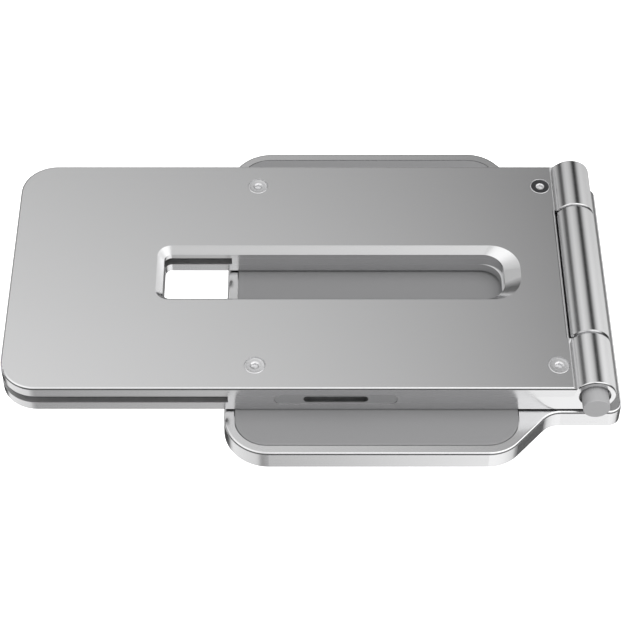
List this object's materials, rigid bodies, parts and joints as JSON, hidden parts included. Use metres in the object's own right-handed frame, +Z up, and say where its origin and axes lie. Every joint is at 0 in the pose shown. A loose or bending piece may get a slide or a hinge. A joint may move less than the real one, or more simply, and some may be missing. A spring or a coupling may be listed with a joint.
{
  "type": "laptop stand",
  "caption": "Folding metal laptop stand: a slotted two-plate arm hinged on a wide padded base, with a push button in the hinge.",
  "frame": {"origin": "under the middle of the folded stand, on the surface that its feet stand on", "axes": "+X along the stand from the arm's free end to the hinge, -Y towards the release button's side, +Z up"},
  "size_m": [0.2502, 0.1656, 0.028],
  "materials": {
    "brushed_aluminium": "fine brushed, clear anodised",
    "satin_barrel": "satin turned and anodised",
    "screw_steel": "plain steel, satin",
    "pad_silicone": "matte silicone, blue-grey",
    "foot_rubber": "matte moulded rubber",
    "hinge_steel": "ground steel, lightly oiled",
    "clutch_brass": "turned brass",
    "bush_polymer": "moulded bearing polymer",
    "button_polymer": "matte grey, fine texture"
  },
  "bodies": {
    "base": {"base_plate": "brushed_aluminium", "base_pad": "pad_silicone", "hinge_bracket": "satin_barrel", "hinge_spindle": "hinge_steel", "stop_pin": "hinge_steel", "bracket_screw_1": "screw_steel", "bracket_screw_2": "screw_steel", "bracket_screw_3": "screw_steel", "bracket_screw_4": "screw_steel", "foot_1": "foot_rubber", "foot_2": "foot_rubber", "foot_3": "foot_rubber", "foot_4": "foot_rubber"},
    "arm": {"arm_top_plate": "brushed_aluminium", "arm_core": "satin_barrel", "arm_bottom_plate": "brushed_aluminium", "side_slot_bezel": "satin_barrel", "arm_screw_1": "screw_steel", "arm_screw_2": "screw_steel", "arm_screw_3": "screw_steel", "arm_screw_4": "screw_steel", "bottom_plate_screw_1": "screw_steel", "bottom_plate_screw_2": "screw_steel", "bottom_plate_screw_3": "screw_steel", "bottom_plate_screw_4": "screw_steel", "bush_near": "bush_polymer", "bush_far": "bush_polymer", "thrust_washer_near": "hinge_steel", "thrust_washer_far": "hinge_steel", "end_plug": "satin_barrel", "return_spring": "hinge_steel"},
    "button": {"release_button": "button_polymer", "push_rod": "hinge_steel", "clutch_cone": "clutch_brass"}
  },
  "joints": [
    {"name": "arm_fold", "type": "hinge", "parent": "base", "child": "arm", "pos_m": [0.1129, 0, 0.0194], "axis": [0, 1, 0], "range_deg": [0, 120]},
    {"name": "button_press", "type": "slide", "parent": "arm", "child": "button", "axis": [0, 1, 0], "range_m": [0, 0.004], "stiffness_N_per_m": 1500, "springref_m": -0.005, "deforming": ["return_spring"]}
  ]
}
